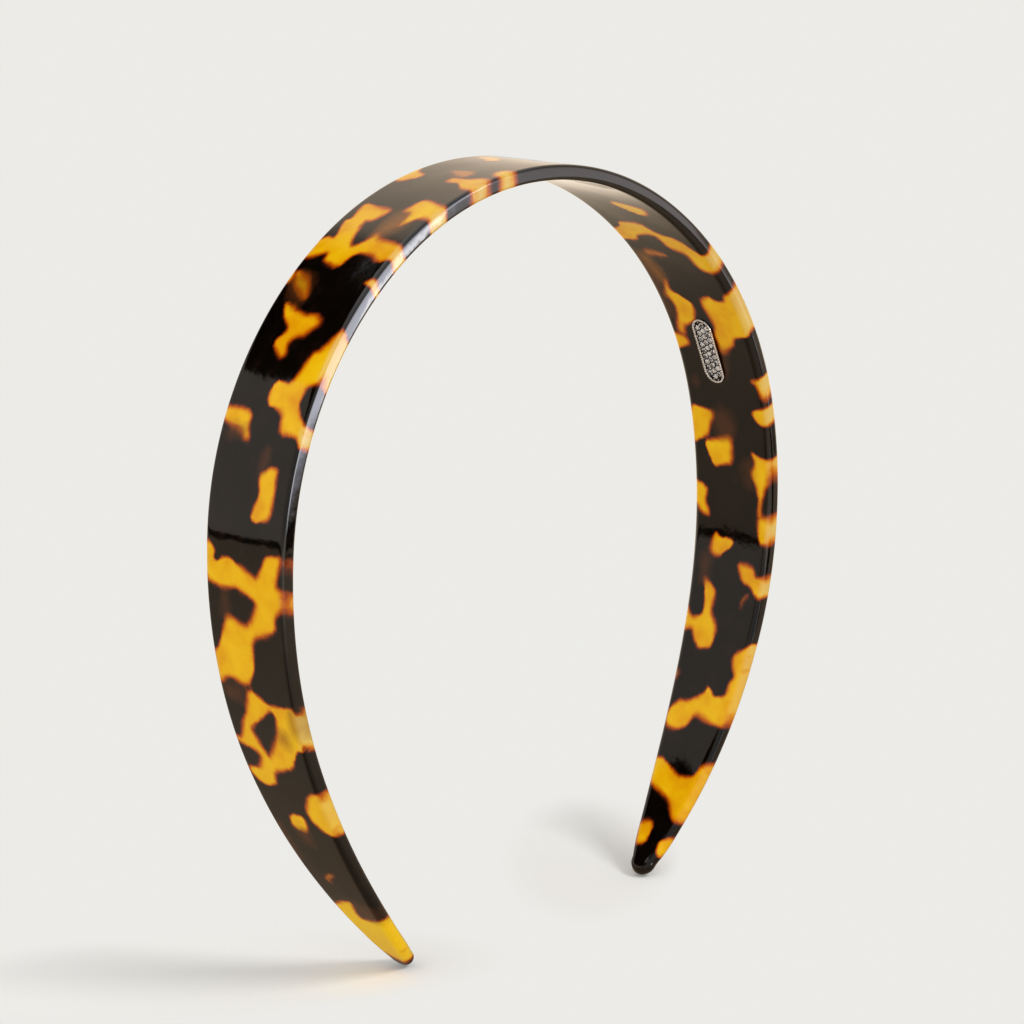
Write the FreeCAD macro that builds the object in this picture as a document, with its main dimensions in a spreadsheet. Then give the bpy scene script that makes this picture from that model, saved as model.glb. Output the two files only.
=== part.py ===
"""A rigid cellulose-acetate headband with a small stone-set metal emblem.

Frame: +Z up through the crown, X from ear to ear, Y across the band's width.
The origin is midway between the two tips, on the surface the tips stand on.
All lengths are in millimetres and all angles in degrees.
"""
import FreeCAD, Part
import math
import os

import Sketcher
from FreeCAD import Placement, Rotation, Vector

PARTS_FOLDER = "parts"
# Sketcher's names for the points of a curve and for the sketch's own axes.
START, END, CENTRE = 1, 2, 3
X_AXIS, Y_AXIS = -1, -2
ORIGIN = (X_AXIS, START)

ARC_NAMES = ("tail", "side", "shoulder", "crown")
UP = Vector(0, 0, 1)
SMALL = 0.001

DIMENSIONS = {
    # The band's middle line: a crown arc, then three flatter arcs down each arm.
    "crown_radius": 62.8,
    "crown_turn": 32.4,
    "shoulder_radius": 69.6,
    "shoulder_turn": 50.0,
    "side_radius": 99.7,
    "side_turn": 27.2,
    "tail_radius": 133.5,
    "tail_turn": 24.1,
    # The band's section, and the outline of its width seen from the side.
    "band_thickness": 3.0,
    "band_width": 22.2,
    "widest_level": 119.0,
    "taper_radius": 1480.0,
    "tip_taper_level": 33.5,
    "tip_taper_radius": 120.0,
    "tip_straight_level": 11.0,
    "tip_corner_radius": 1.8,
    "edge_radius": 0.6,
    # The block outside the side outline, past every part of the band.
    "waste_top": 160.0,
    "waste_bottom": 5.0,
    "waste_reach": 25.0,
    # The emblem's place on the inner face of the +X arm, and its recess.
    "emblem_turn": 71.4,
    "emblem_shift": 1.2,
    "recess_depth": 0.3,
    "recess_gap": 0.1,
    # The emblem plate.
    "plate_length": 15.2,
    "plate_width": 5.2,
    "plate_thickness": 1.0,
    "rim_width": 0.45,
    "tray_depth": 0.35,
    "rim_edge_radius": 0.15,
    # The round stones in the plate's tray.
    "stone_diameter": 1.2,
    "stone_gap": 0.02,
    "stone_pitch": 1.35,
    "row_pitch": 1.25,
    "seat_depth": 0.45,
    "girdle_height": 0.08,
    "stone_crown_height": 0.18,
    "table_diameter": 0.66,
    "pavilion_depth": 0.40,
    # The fixing pins behind the plate.
    "pin_diameter": 1.2,
    "pin_length": 1.3,
    "pin_spacing": 9.6,
    "pin_hole_gap": 0.05,
}

# Stones per row, from one long side of the emblem to the other.
STONE_ROWS = ((-1, 9), (0, 10), (1, 9))


def make_sheet(doc):
    """Put every driving dimension in a spreadsheet cell with an alias."""
    sheet = doc.addObject("Spreadsheet::Sheet", "Sizes")
    for row, (alias, value) in enumerate(DIMENSIONS.items(), start=1):
        sheet.set("A%d" % row, alias)
        sheet.set("B%d" % row, str(value))
        sheet.setAlias("B%d" % row, alias)
    doc.recompute()
    return sheet


def new_body(doc, label):
    body = doc.addObject("PartDesign::Body", label)
    body.Label = label
    return body


def origin_plane(body, role):
    for feature in body.Origin.OriginFeatures:
        if feature.Role == role:
            return feature
    raise ValueError("no origin plane " + role)


def new_sketch(body, name, role, offset=Placement()):
    """Make a sketch on one of the body's origin planes, moved by offset."""
    sketch = body.newObject("Sketcher::SketchObject", name)
    sketch.AttachmentSupport = [(origin_plane(body, role), "")]
    sketch.MapMode = "FlatFace"
    sketch.AttachmentOffset = offset
    return sketch


def constrain(sketch, *arguments):
    return sketch.addConstraint(Sketcher.Constraint(*arguments))


def dimension(sketch, expression, *arguments):
    """Add a dimension whose value comes from the spreadsheet."""
    index = constrain(sketch, *arguments)
    sketch.setExpression("Constraints[%d]" % index, expression)


def sized(text):
    """Turn dimension names in braces into references to the sheet's cells."""
    return text.replace("{", "Sizes.").replace("}", "")


def new_pad(body, name, sketch, length, symmetric=False):
    pad = body.newObject("PartDesign::Pad", name)
    pad.Profile = sketch
    pad.setExpression("Length", sized(length))
    if symmetric:
        pad.SideType = "Symmetric"
    return pad


def new_pocket(body, name, sketch, length, reverse=False, symmetric=False):
    """Cut the sketch out of the body, and make sure that something was cut."""
    body.Document.recompute()
    volume_before = body.Shape.Volume
    pocket = body.newObject("PartDesign::Pocket", name)
    pocket.Profile = sketch
    pocket.setExpression("Length", sized(length))
    pocket.Reversed = reverse
    if symmetric:
        pocket.SideType = "Symmetric"
    body.Document.recompute()
    if body.Shape.Volume >= volume_before:
        raise ValueError(name + " cuts nothing")
    return pocket


def new_fillet(body, name, edges, radius):
    base = body.Tip
    fillet = body.newObject("PartDesign::Fillet", name)
    fillet.Base = (base, edges)
    fillet.setExpression("Radius", sized(radius))
    body.Tip = fillet
    body.Document.recompute()
    return fillet


def turns(sheet):
    """The middle line's turn from the crown at the end of each arc."""
    crown = sheet.crown_turn
    shoulder = crown + sheet.shoulder_turn
    side = shoulder + sheet.side_turn
    return crown, shoulder, side, side + sheet.tail_turn


def outward(turn):
    """The direction straight out of the band where it has turned this far."""
    angle = math.radians(turn)
    return Vector(math.sin(angle), 0, math.cos(angle))


def middle_line(sheet):
    """The centre and radius of the +X arm's arcs, from the crown to the tip."""
    radii = (sheet.crown_radius, sheet.shoulder_radius, sheet.side_radius, sheet.tail_radius)
    ends = turns(sheet)
    centres = [Vector(0, 0, 0)]
    for radius, next_radius, turn in zip(radii, radii[1:], ends):
        centres.append(centres[-1] + outward(turn) * (radius - next_radius))
    corner = centres[-1] + outward(ends[-1]) * (sheet.tail_radius + sheet.band_thickness / 2)
    tip = math.radians(ends[-1])
    corner_level = -sheet.edge_radius * (math.sin(tip) - math.cos(tip) - 1)
    lift = Vector(0, 0, corner_level - corner.z)
    return [(centre + lift, radius) for centre, radius in zip(centres, radii)]


def arc_edge(centre, radius, low, high):
    """An arc in a sketch on the XZ plane, counter-clockwise from low to high."""
    circle = Part.Circle(Vector(centre.x, centre.z, 0), UP, radius)
    return Part.ArcOfCircle(circle, math.radians(low), math.radians(high))


def face_arcs(sheet, offset):
    """Arcs of one face of the band, counter-clockwise from the +X tip round to the -X tip."""
    arms = middle_line(sheet)
    ends = turns(sheet)
    starts = (0.0,) + ends[:-1]
    plus = []
    minus = []
    for (centre, radius), start, end in list(zip(arms, starts, ends))[1:]:
        plus.insert(0, arc_edge(centre, radius + offset, 90 - end, 90 - start))
        mirrored = Vector(-centre.x, 0, centre.z)
        minus.append(arc_edge(mirrored, radius + offset, 90 + start, 90 + end))
    centre, radius = arms[0]
    crown = arc_edge(centre, radius + offset, 90 - ends[0], 90 + ends[0])
    return plus + [crown] + minus


def band_profile(body, sheet):
    """The band seen along Y: two chains of tangent arcs joined at the tips."""
    sketch = new_sketch(body, "BandProfile", "XZ_Plane")
    half = sheet.band_thickness / 2
    names = ARC_NAMES + ARC_NAMES[-2::-1]
    outer = [sketch.addGeometry(arc, False) for arc in face_arcs(sheet, half)]
    inner = [sketch.addGeometry(arc, False) for arc in face_arcs(sheet, -half)]
    plus_end = Part.LineSegment(sketch.getPoint(inner[0], START), sketch.getPoint(outer[0], START))
    minus_end = Part.LineSegment(sketch.getPoint(outer[-1], END), sketch.getPoint(inner[-1], END))
    plus_line = sketch.addGeometry(plus_end, False)
    minus_line = sketch.addGeometry(minus_end, False)

    for chain in (outer, inner):
        for first, second in zip(chain, chain[1:]):
            constrain(sketch, "Tangent", first, END, second, START)
    for outer_arc, inner_arc in zip(outer, inner):
        constrain(sketch, "Coincident", outer_arc, CENTRE, inner_arc, CENTRE)
    constrain(sketch, "Perpendicular", plus_line, END, outer[0], START)
    constrain(sketch, "Coincident", plus_line, START, inner[0], START)
    constrain(sketch, "Perpendicular", minus_line, START, outer[-1], END)
    constrain(sketch, "Coincident", minus_line, END, inner[-1], END)

    middle = len(names) // 2
    constrain(sketch, "Symmetric", outer[middle], START, outer[middle], END, Y_AXIS)
    constrain(sketch, "PointOnObject", outer[middle], CENTRE, Y_AXIS)
    ends = turns(sheet)
    for arc, name in zip(outer, names):
        radius = getattr(sheet, name + "_radius") + half
        dimension(sketch, sized("{%s_radius} + {band_thickness} / 2" % name), "Radius", arc, radius)
        sides = 2 if name == "crown" else 1
        span = math.radians(sides * getattr(sheet, name + "_turn"))
        dimension(sketch, sized("%d deg * {%s_turn}" % (sides, name)), "Angle", arc, span)
    inner_radius = sheet.crown_radius - half
    dimension(sketch, sized("{crown_radius} - {band_thickness} / 2"), "Radius", inner[middle], inner_radius)
    tip = "({crown_turn} + {shoulder_turn} + {side_turn} + {tail_turn})"
    drop = "{edge_radius} * (sin(%s) - cos(%s) - 1)" % (tip, tip)
    angle = math.radians(ends[-1])
    level = sheet.edge_radius * (math.sin(angle) - math.cos(angle) - 1)
    dimension(sketch, sized(drop), "DistanceY", outer[0], START, *ORIGIN, level)
    return sketch


def side_waste(body, sheet):
    """What is cut off the +Y side: outside a long arc, a tighter one and a straight tip."""
    sketch = new_sketch(body, "SideWaste", "YZ_Plane")
    half = sheet.band_width / 2
    top = sheet.waste_top
    outside = sheet.waste_reach
    floor = -sheet.waste_bottom
    taper_centre = Vector(half - sheet.taper_radius, sheet.widest_level, 0)
    dip = math.asin((sheet.widest_level - sheet.tip_taper_level) / sheet.taper_radius)
    rise = math.asin((top - sheet.widest_level) / sheet.taper_radius)
    taper_circle = Part.Circle(taper_centre, UP, sheet.taper_radius)
    join = Vector(math.cos(dip), -math.sin(dip), 0)
    tip_centre = taper_centre + join * (sheet.taper_radius - sheet.tip_taper_radius)
    tip_circle = Part.Circle(tip_centre, UP, sheet.tip_taper_radius)
    tip_dip = math.asin((tip_centre.y - sheet.tip_straight_level) / sheet.tip_taper_radius)

    taper = sketch.addGeometry(Part.ArcOfCircle(taper_circle, -dip, rise), False)
    tip = sketch.addGeometry(Part.ArcOfCircle(tip_circle, -tip_dip, -dip), False)
    straight_top = sketch.getPoint(tip, START)
    inset = (sheet.tip_straight_level - floor) * math.tan(tip_dip)
    bottom_point = Vector(straight_top.x - inset, floor, 0)
    straight = sketch.addGeometry(Part.LineSegment(bottom_point, straight_top), False)
    top_point = sketch.getPoint(taper, END)
    corners = [bottom_point, Vector(outside, floor, 0), Vector(outside, top, 0), top_point]
    lines = []
    for start, end in zip(corners, corners[1:]):
        lines.append(sketch.addGeometry(Part.LineSegment(start, end), False))
    bottom, wall, lid = lines

    constrain(sketch, "Tangent", tip, END, taper, START)
    constrain(sketch, "Tangent", straight, END, tip, START)
    constrain(sketch, "Coincident", straight, START, bottom, START)
    constrain(sketch, "Coincident", bottom, END, wall, START)
    constrain(sketch, "Coincident", wall, END, lid, START)
    constrain(sketch, "Coincident", lid, END, taper, END)
    constrain(sketch, "Horizontal", bottom)
    constrain(sketch, "Vertical", wall)
    constrain(sketch, "Horizontal", lid)
    dimension(sketch, sized("{taper_radius}"), "Radius", taper, sheet.taper_radius)
    dimension(sketch, sized("{tip_taper_radius}"), "Radius", tip, sheet.tip_taper_radius)
    dimension(sketch, sized("{widest_level}"), "DistanceY", *ORIGIN, taper, CENTRE,
              sheet.widest_level)
    dimension(sketch, sized("{taper_radius} - {band_width} / 2"), "DistanceX",
              taper, CENTRE, *ORIGIN, sheet.taper_radius - half)
    dimension(sketch, sized("{tip_taper_level}"), "DistanceY", *ORIGIN, taper, START,
              sheet.tip_taper_level)
    dimension(sketch, sized("{tip_straight_level}"), "DistanceY", *ORIGIN, tip, START,
              sheet.tip_straight_level)
    dimension(sketch, sized("{waste_reach}"), "DistanceX", *ORIGIN, wall, START, outside)
    dimension(sketch, sized("{waste_bottom}"), "DistanceY", wall, START, *ORIGIN, -floor)
    dimension(sketch, sized("{waste_top}"), "DistanceY", *ORIGIN, wall, END, top)
    return sketch


def obround(sketch, length, width, length_rule, width_rule):
    """A slot-shaped outline along the sketch's x axis, centred on its origin."""
    radius = width / 2
    reach = length / 2 - radius
    quarter = math.pi / 2
    right_circle = Part.Circle(Vector(reach, 0, 0), UP, radius)
    left_circle = Part.Circle(Vector(-reach, 0, 0), UP, radius)
    right = sketch.addGeometry(Part.ArcOfCircle(right_circle, -quarter, quarter), False)
    left = sketch.addGeometry(Part.ArcOfCircle(left_circle, quarter, 3 * quarter), False)
    top_line = Part.LineSegment(Vector(reach, radius, 0), Vector(-reach, radius, 0))
    low_line = Part.LineSegment(Vector(-reach, -radius, 0), Vector(reach, -radius, 0))
    top = sketch.addGeometry(top_line, False)
    low = sketch.addGeometry(low_line, False)
    constrain(sketch, "Tangent", right, END, top, START)
    constrain(sketch, "Tangent", top, END, left, START)
    constrain(sketch, "Tangent", left, END, low, START)
    constrain(sketch, "Tangent", low, END, right, START)
    constrain(sketch, "Equal", right, left)
    constrain(sketch, "Symmetric", right, CENTRE, left, CENTRE, *ORIGIN)
    constrain(sketch, "PointOnObject", right, CENTRE, X_AXIS)
    dimension(sketch, sized("(%s) / 2" % width_rule), "Radius", right, radius)
    dimension(sketch, sized("(%s) - (%s)" % (length_rule, width_rule)), "DistanceX",
              left, CENTRE, right, CENTRE, 2 * reach)


def circle_at(sketch, x, y, radius, x_rule, y_rule, radius_rule):
    """A circle whose centre is dimensioned from the sketch's origin."""
    index = sketch.addGeometry(Part.Circle(Vector(x, y, 0), UP, radius), False)
    dimension(sketch, sized(radius_rule), "Radius", index, radius)
    dimension(sketch, sized(x_rule), "DistanceX", *ORIGIN, index, CENTRE, x)
    if y == 0:
        constrain(sketch, "PointOnObject", index, CENTRE, X_AXIS)
    else:
        dimension(sketch, sized(y_rule), "DistanceY", *ORIGIN, index, CENTRE, y)


def emblem_placement(sheet):
    """The emblem's own frame: z into the head space, x up the arm, y across the band."""
    centre, radius = middle_line(sheet)[1]
    seat = centre + outward(sheet.emblem_turn) * (radius - sheet.band_thickness / 2)
    seat.y = sheet.emblem_shift
    return Placement(seat, Rotation(Vector(0, 1, 0), 180 + sheet.emblem_turn))


def raised(placement, height):
    return placement.multiply(Placement(Vector(0, 0, height), Rotation()))


def is_tip_face(face):
    """Whether a face is one of the two flat ends of the band."""
    return isinstance(face.Surface, Part.Plane) and abs(face.Surface.Axis.y) < SMALL


def tip_corner_edges(shape):
    """The short edges across the band's thickness, beside the flat tip faces."""
    names = []
    for index, edge in enumerate(shape.Edges, start=1):
        faces = shape.ancestorsOfType(edge, Part.Face)
        box = edge.BoundBox
        if any(is_tip_face(face) for face in faces) and box.YLength < box.ZLength:
            names.append("Edge%d" % index)
    return names


def crown_rim_edges(shape):
    """The four rims over the crown; a fillet runs on from them round both arms."""
    names = []
    for index, edge in enumerate(shape.Edges, start=1):
        box = edge.BoundBox
        if box.XMin < 0 < box.XMax and box.YLength < box.XLength:
            names.append("Edge%d" % index)
    return names


def pin_circles(sketch, sheet, gap_rule, gap):
    """Two circles on the emblem's long axis, wider than a pin by the gap all round."""
    radius_rule = "{pin_diameter} / 2 + " + gap_rule
    reach = sheet.pin_spacing / 2
    radius = sheet.pin_diameter / 2 + gap
    for side in (-1, 1):
        x_rule = "%d * {pin_spacing} / 2" % side
        circle_at(sketch, side * reach, 0, radius, x_rule, "0", radius_rule)


def make_band(doc, sheet):
    """The band: bent from flat sheet, tapered to the tips, edges tumbled round."""
    body = new_body(doc, "band")
    new_pad(body, "Bend", band_profile(body, sheet), "{band_width}", symmetric=True)
    waste = side_waste(body, sheet)
    taper = new_pocket(body, "Taper", waste, "{waste_top}", symmetric=True)
    mirrored = body.newObject("PartDesign::Mirrored", "TaperMirrored")
    mirrored.Originals = [taper]
    mirrored.MirrorPlane = (origin_plane(body, "XZ_Plane"), [""])
    body.Tip = mirrored
    doc.recompute()
    new_fillet(body, "TipCorners", tip_corner_edges(body.Shape), "{tip_corner_radius}")
    new_fillet(body, "TumbledEdges", crown_rim_edges(body.Shape), "{edge_radius}")
    cut_emblem_recess(body, sheet)
    return body


def cut_emblem_recess(body, sheet):
    """A flat-bottomed recess for the emblem plate, with two blind pin holes in it."""
    floor = raised(emblem_placement(sheet), -sheet.recess_depth)
    recess = new_sketch(body, "Recess", "XY_Plane", floor)
    gap = 2 * sheet.recess_gap
    obround(recess, sheet.plate_length + gap, sheet.plate_width + gap,
            "{plate_length} + 2 * {recess_gap}", "{plate_width} + 2 * {recess_gap}")
    new_pocket(body, "RecessCut", recess, "{band_thickness}", reverse=True)
    holes = new_sketch(body, "PinHoles", "XY_Plane", floor)
    pin_circles(holes, sheet, "{pin_hole_gap}", sheet.pin_hole_gap)
    new_pocket(body, "PinHolesCut", holes, "{pin_length} + {pin_hole_gap}")


def row_start(sheet, side, count):
    """The first stone of a row: its place, and the rules that set it."""
    half_run = (count - 1) / 2
    x_rule = "-%s * {stone_pitch}" % half_run
    y_rule = "%d * {row_pitch}" % side
    return -half_run * sheet.stone_pitch, side * sheet.row_pitch, x_rule, y_rule


def new_row(body, name, original, sketch, count):
    """Repeat one stone or seat along the emblem's long axis."""
    pattern = body.newObject("PartDesign::LinearPattern", name)
    pattern.Originals = [original]
    pattern.Direction = (sketch, ["H_Axis"])
    pattern.setExpression("Length", sized("%d * {stone_pitch}" % (count - 1)))
    pattern.Occurrences = count
    body.Tip = pattern
    body.Document.recompute()


def tray_floor(sheet):
    return sheet.plate_thickness - sheet.recess_depth - sheet.tray_depth


def make_emblem_plate(doc, sheet):
    """A flat slot-shaped plate with a raised rim and a seat for every stone."""
    body = new_body(doc, "emblem_plate")
    back = Placement(Vector(0, 0, -sheet.recess_depth), Rotation())
    outline = new_sketch(body, "PlateOutline", "XY_Plane", back)
    obround(outline, sheet.plate_length, sheet.plate_width, "{plate_length}", "{plate_width}")
    new_pad(body, "Plate", outline, "{plate_thickness}")
    front = Placement(Vector(0, 0, sheet.plate_thickness - sheet.recess_depth), Rotation())
    tray = new_sketch(body, "TrayOutline", "XY_Plane", front)
    rim = 2 * sheet.rim_width
    obround(tray, sheet.plate_length - rim, sheet.plate_width - rim,
            "{plate_length} - 2 * {rim_width}", "{plate_width} - 2 * {rim_width}")
    new_pocket(body, "Tray", tray, "{tray_depth}")
    rim_top = sheet.plate_thickness - sheet.recess_depth
    new_fillet(body, "RimEdges", edges_at_height(body.Shape, rim_top), "{rim_edge_radius}")
    floor = Placement(Vector(0, 0, tray_floor(sheet)), Rotation())
    for row, (side, count) in enumerate(STONE_ROWS, start=1):
        seats = new_sketch(body, "SeatRow%d" % row, "XY_Plane", floor)
        x, y, x_rule, y_rule = row_start(sheet, side, count)
        circle_at(seats, x, y, sheet.stone_diameter / 2 + sheet.stone_gap, x_rule, y_rule,
                  "{stone_diameter} / 2 + {stone_gap}")
        seat = new_pocket(body, "Seat%d" % row, seats, "{seat_depth}")
        new_row(body, "Seats%d" % row, seat, seats, count)
    body.Placement = emblem_placement(sheet)
    return body


def edges_at_height(shape, height):
    names = []
    for index, edge in enumerate(shape.Edges, start=1):
        box = edge.BoundBox
        if abs(box.ZMin - height) < SMALL and abs(box.ZMax - height) < SMALL:
            names.append("Edge%d" % index)
    return names


def stone_profile(body, name, sheet, side, count):
    """Half of a round stone's section, standing on the row's first stone axis."""
    x, y, x_rule, y_rule = row_start(sheet, side, count)
    offset = Placement(Vector(0, 0, -y), Rotation())
    sketch = new_sketch(body, name, "XZ_Plane", offset)
    girdle = sheet.stone_diameter / 2
    table = sheet.table_diameter / 2
    low = tray_floor(sheet) + sheet.stone_gap
    high = low + sheet.girdle_height
    top = high + sheet.stone_crown_height
    points = [
        Vector(x, low - sheet.pavilion_depth, 0),
        Vector(x + girdle, low, 0),
        Vector(x + girdle, high, 0),
        Vector(x + table, top, 0),
        Vector(x, top, 0),
    ]
    lines = []
    for start, end in zip(points, points[1:] + points[:1]):
        lines.append(sketch.addGeometry(Part.LineSegment(start, end), False))
    for first, second in zip(lines, lines[1:] + lines[:1]):
        constrain(sketch, "Coincident", first, END, second, START)
    pavilion, rim, crown, flat, axis = lines
    constrain(sketch, "Vertical", rim)
    constrain(sketch, "Horizontal", flat)
    constrain(sketch, "Vertical", axis)
    floor_rule = "({plate_thickness} - {recess_depth} - {tray_depth} + {stone_gap})"
    dimension(sketch, sized(x_rule), "DistanceX", *ORIGIN, axis, END, x)
    dimension(sketch, sized(floor_rule), "DistanceY", *ORIGIN, rim, START, low)
    dimension(sketch, sized("{pavilion_depth}"), "DistanceY", pavilion, START, rim, START,
              sheet.pavilion_depth)
    dimension(sketch, sized("{stone_diameter} / 2"), "DistanceX", pavilion, START, rim, START, girdle)
    dimension(sketch, sized("{girdle_height}"), "DistanceY", rim, START, rim, END,
              sheet.girdle_height)
    dimension(sketch, sized("{stone_crown_height}"), "DistanceY", crown, START, crown, END,
              sheet.stone_crown_height)
    dimension(sketch, sized("{table_diameter} / 2"), "DistanceX", flat, END, flat, START, table)
    return sketch, axis


def make_emblem_crystals(doc, sheet):
    """Round stones, each with a flat table, a girdle and a pointed pavilion."""
    body = new_body(doc, "emblem_crystals")
    for row, (side, count) in enumerate(STONE_ROWS, start=1):
        sketch, axis = stone_profile(body, "StoneRow%d" % row, sheet, side, count)
        stone = body.newObject("PartDesign::Revolution", "Stone%d" % row)
        stone.Profile = sketch
        stone.ReferenceAxis = (sketch, ["Edge%d" % (axis + 1)])
        body.Tip = stone
        doc.recompute()
        new_row(body, "Stones%d" % row, stone, sketch, count)
    body.Placement = emblem_placement(sheet)
    return body


def make_emblem_pins(doc, sheet):
    """Two round pins on the plate's back that hold it in the band."""
    body = new_body(doc, "emblem_pins")
    back = Placement(Vector(0, 0, -sheet.recess_depth), Rotation())
    sketch = new_sketch(body, "PinCircles", "XY_Plane", back)
    pin_circles(sketch, sheet, "0", 0)
    pad = new_pad(body, "Pins", sketch, "{pin_length}")
    pad.Reversed = True
    body.Placement = emblem_placement(sheet)
    return body


def check(doc, bodies):
    """Stop before anything is written if an object failed or a solid is unsound."""
    for item in doc.Objects:
        if "Invalid" in item.State or "Error" in item.State:
            raise ValueError(item.Name + " failed to compute")
        if item.isDerivedFrom("Sketcher::SketchObject") and not item.FullyConstrained:
            raise ValueError(item.Name + " isn't fully constrained")
    for body in bodies:
        if body.Shape.isNull() or not body.Shape.isValid():
            raise ValueError(body.Label + " has no sound shape")


def write(bodies):
    os.makedirs(PARTS_FOLDER, exist_ok=True)
    for body in bodies:
        box = body.Shape.BoundBox
        body.Shape.exportStep(os.path.join(PARTS_FOLDER, body.Label + ".step"))
        print("%-16s solids %3d  volume %9.2f mm3  x %7.2f %7.2f  y %7.2f %7.2f  z %7.2f %7.2f" % (
            body.Label, len(body.Shape.Solids), body.Shape.Volume,
            box.XMin, box.XMax, box.YMin, box.YMax, box.ZMin, box.ZMax))


def main():
    doc = FreeCAD.newDocument("Headband")
    sheet = make_sheet(doc)
    bodies = [
        make_band(doc, sheet),
        make_emblem_plate(doc, sheet),
        make_emblem_crystals(doc, sheet),
        make_emblem_pins(doc, sheet),
    ]
    doc.recompute()
    check(doc, bodies)
    write(bodies)


main()
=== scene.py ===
"""The looks of a tortoiseshell acetate headband with a small stone-set emblem, around its CAD frame.

Places on the band are given in millimetres on its flat sheet: how far along the band from the
crown, and how far across it. Everything in the scene is in metres.
"""

import math
import random

import bmesh
import bpy
import numpy as np
from mathutils import Matrix, Vector


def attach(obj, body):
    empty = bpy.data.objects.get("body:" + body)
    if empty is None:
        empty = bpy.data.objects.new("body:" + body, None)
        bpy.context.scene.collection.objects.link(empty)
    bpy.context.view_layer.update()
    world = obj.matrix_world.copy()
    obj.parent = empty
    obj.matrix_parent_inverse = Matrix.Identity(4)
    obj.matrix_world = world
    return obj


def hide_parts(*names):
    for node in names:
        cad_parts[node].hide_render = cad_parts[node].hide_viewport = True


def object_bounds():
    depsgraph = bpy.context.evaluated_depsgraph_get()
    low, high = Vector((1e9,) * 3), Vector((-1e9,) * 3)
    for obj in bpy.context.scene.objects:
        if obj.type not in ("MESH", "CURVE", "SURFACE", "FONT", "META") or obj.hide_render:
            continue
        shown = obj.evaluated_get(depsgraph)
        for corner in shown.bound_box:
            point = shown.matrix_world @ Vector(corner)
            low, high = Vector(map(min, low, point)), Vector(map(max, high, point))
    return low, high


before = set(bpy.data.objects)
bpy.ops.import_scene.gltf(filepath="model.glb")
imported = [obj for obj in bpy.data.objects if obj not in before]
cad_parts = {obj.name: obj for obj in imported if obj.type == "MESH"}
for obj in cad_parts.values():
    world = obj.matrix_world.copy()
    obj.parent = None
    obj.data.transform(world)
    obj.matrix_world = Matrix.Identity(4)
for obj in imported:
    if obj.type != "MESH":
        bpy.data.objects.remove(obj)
cad_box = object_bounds()

MM = 0.001

# The band's middle line, as in the CAD: (radius in mm, turn in degrees) from the crown to the tip.
ARCS = ((62.8, 32.4), (69.6, 50.0), (99.7, 27.2), (133.5, 24.1))
THICKNESS = 3.0
EDGE_RADIUS = 0.7
# Tumbling has rounded and thinned the tips more than the rest: the edge's radius there, the
# thickness lost from the inner face there, and where both begin.
TIP_EDGE_RADIUS = 1.35
TIP_LOSS = 0.2
TUMBLED_START = 120.0
# The +X arm's inner edges are rounder: their radius, and between which places it grows to that.
SOFT_EDGE_RADIUS = 1.5
SOFT_EDGE_PLACES = (5.0, 60.0)
# The side walls bulge a little: how far they lean where the rounded edges begin.
WALL_LEAN = math.radians(1.2)
TIP_RADIUS = 3.0
# Half the band's width at places along an arm, up to where the round tip starts.
HALF_WIDTHS = ((0, 11.0), (49, 11.2), (88, 11.2), (118, 10.75), (147, 9.8), (160, 8.95),
               (172, 7.75), (180, 6.65), (187, 5.4), (193.5, 4.05), (196.7, 3.0))
# How far each tip leans across the band, on the -X arm and on the +X arm, and where that begins.
TIP_LEAN = (2.7, -0.6)
LEAN_START = 160.0
# The mesh: the step between rings, the rings round each tip, and the points round the section.
RING_STEP = 0.56
TIP_RINGS = 14
ROUND_STEPS = 5
FLAT_STEPS = 38
WALL_STEPS = (0.93, 0.5, 0.0, -0.5, -0.93)


def add_object(name, data):
    """A new object in the scene."""
    made = bpy.data.objects.new(name, data)
    bpy.context.scene.collection.objects.link(made)
    return made


def new_mesh(shape, name):
    """A mesh from a bmesh, which is used up."""
    mesh = bpy.data.meshes.new(name)
    shape.to_mesh(mesh)
    shape.free()
    return mesh


# ---------------------------------------------------------------- the band's shape

def smooth_curve(table, places):
    """A smooth curve through the points of a table, at the given places."""
    x, y = np.array(table, float).T
    slopes = np.gradient(y, x)
    index = np.clip(np.searchsorted(x, places) - 1, 0, len(x) - 2)
    span = x[index + 1] - x[index]
    t = np.clip((places - x[index]) / span, 0, 1)
    rise = y[index + 1] - y[index]
    start = slopes[index] * span
    end = slopes[index + 1] * span
    square = 3 * rise - 2 * start - end
    cube = start + end - 2 * rise
    return y[index] + t * start + t * t * square + t ** 3 * cube


def arc_table():
    """For each arc: its centre (x, z), radius, the turn at its start and the length there."""
    rows = []
    centre = np.zeros(2)
    turn = 0.0
    length = 0.0
    for index, (radius, degrees) in enumerate(ARCS):
        rows.append((centre.copy(), radius, turn, length))
        turn += math.radians(degrees)
        length += radius * math.radians(degrees)
        if index + 1 < len(ARCS):
            centre += (radius - ARCS[index + 1][0]) * np.array([math.sin(turn), math.cos(turn)])
    return rows, length


ARC_ROWS, HALF_LENGTH = arc_table()
TIP_CENTRE = HALF_LENGTH - TIP_RADIUS
CROWN_CENTRE_HEIGHT = cad_box[1].z / MM - ARCS[0][0] - THICKNESS / 2


def middle_line(along):
    """Points (x, z) of the middle line and the outward direction there, all in mm."""
    side = np.where(along < 0, -1.0, 1.0)
    distance = np.abs(along)
    point = np.zeros((len(along), 2))
    out = np.zeros((len(along), 2))
    for centre, radius, start_turn, start in ARC_ROWS:
        here = distance >= start
        turn = start_turn + (distance[here] - start) / radius
        direction = np.stack([np.sin(turn), np.cos(turn)], 1)
        point[here] = centre + radius * direction
        out[here] = direction
    point[:, 0] *= side
    out[:, 0] *= side
    point[:, 1] += CROWN_CENTRE_HEIGHT
    return point, out


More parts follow.
